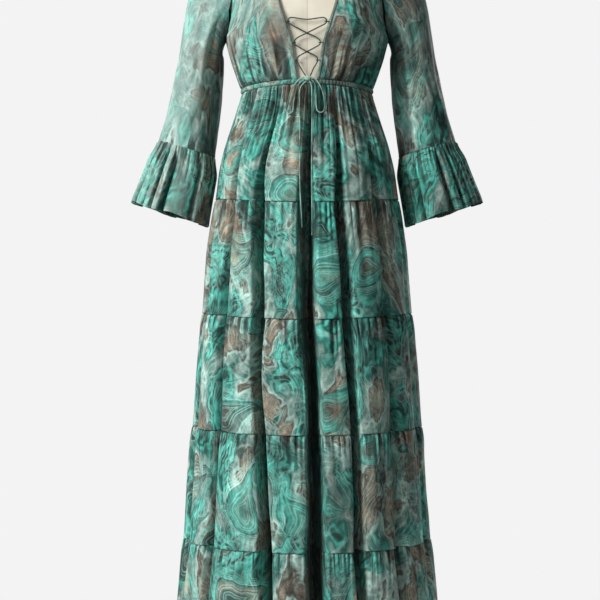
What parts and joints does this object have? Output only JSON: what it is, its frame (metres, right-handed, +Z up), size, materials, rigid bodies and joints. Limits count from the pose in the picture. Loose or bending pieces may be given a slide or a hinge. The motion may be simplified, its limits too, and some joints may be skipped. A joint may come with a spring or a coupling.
{
  "type": "maxi dress on a limbless dress form",
  "caption": "Long tiered dress with a laced plunging neck, a drawstring waist and ruffled bell sleeves, standing on a limbless dress form.",
  "frame": {"origin": "the middle of the round base's underside, on the floor, on the axis of the stand's pole", "axes": "+Z up the pole, -Y to the front of the dress, +X to the viewer's right when the front is faced"},
  "size_m": [0.71, 0.4855, 1.5863],
  "materials": {
    "printed_cloth": "light woven cloth with an all-over paisley print in teal, turquoise, sage and brown",
    "binding_cloth": "the same cloth, folded into narrow bands",
    "cord_cloth": "soft twisted cord, matt",
    "form_linen": "natural linen, plain weave",
    "cap_wood": "satin varnish",
    "stand_metal": "brushed, satin"
  },
  "bodies": {
    "root": {"bodice_front_right": "printed_cloth", "bodice_front_left": "printed_cloth", "bodice_back": "printed_cloth", "skirt_tier_1": "printed_cloth", "skirt_tier_2": "printed_cloth", "skirt_tier_3": "printed_cloth", "skirt_tier_4": "printed_cloth", "skirt_tier_5": "printed_cloth", "sleeve_right": "printed_cloth", "sleeve_left": "printed_cloth", "sleeve_ruffle_right": "printed_cloth", "sleeve_ruffle_left": "printed_cloth", "neck_band_right": "binding_cloth", "neck_band_left": "binding_cloth", "waist_casing": "binding_cloth", "lace_cord": "cord_cloth", "bow_loop_left": "cord_cloth", "bow_loop_right": "cord_cloth", "bow_tail_left": "cord_cloth", "bow_tail_right": "cord_cloth", "bow_knot": "cord_cloth", "lace_loop_right_1": "cord_cloth", "lace_loop_left_1": "cord_cloth", "lace_loop_right_2": "cord_cloth", "lace_loop_left_2": "cord_cloth", "lace_loop_right_3": "cord_cloth", "lace_loop_left_3": "cord_cloth", "form_torso": "form_linen", "neck_cap": "cap_wood", "stand_pole": "stand_metal", "stand_base": "stand_metal"}
  },
  "joints": []
}
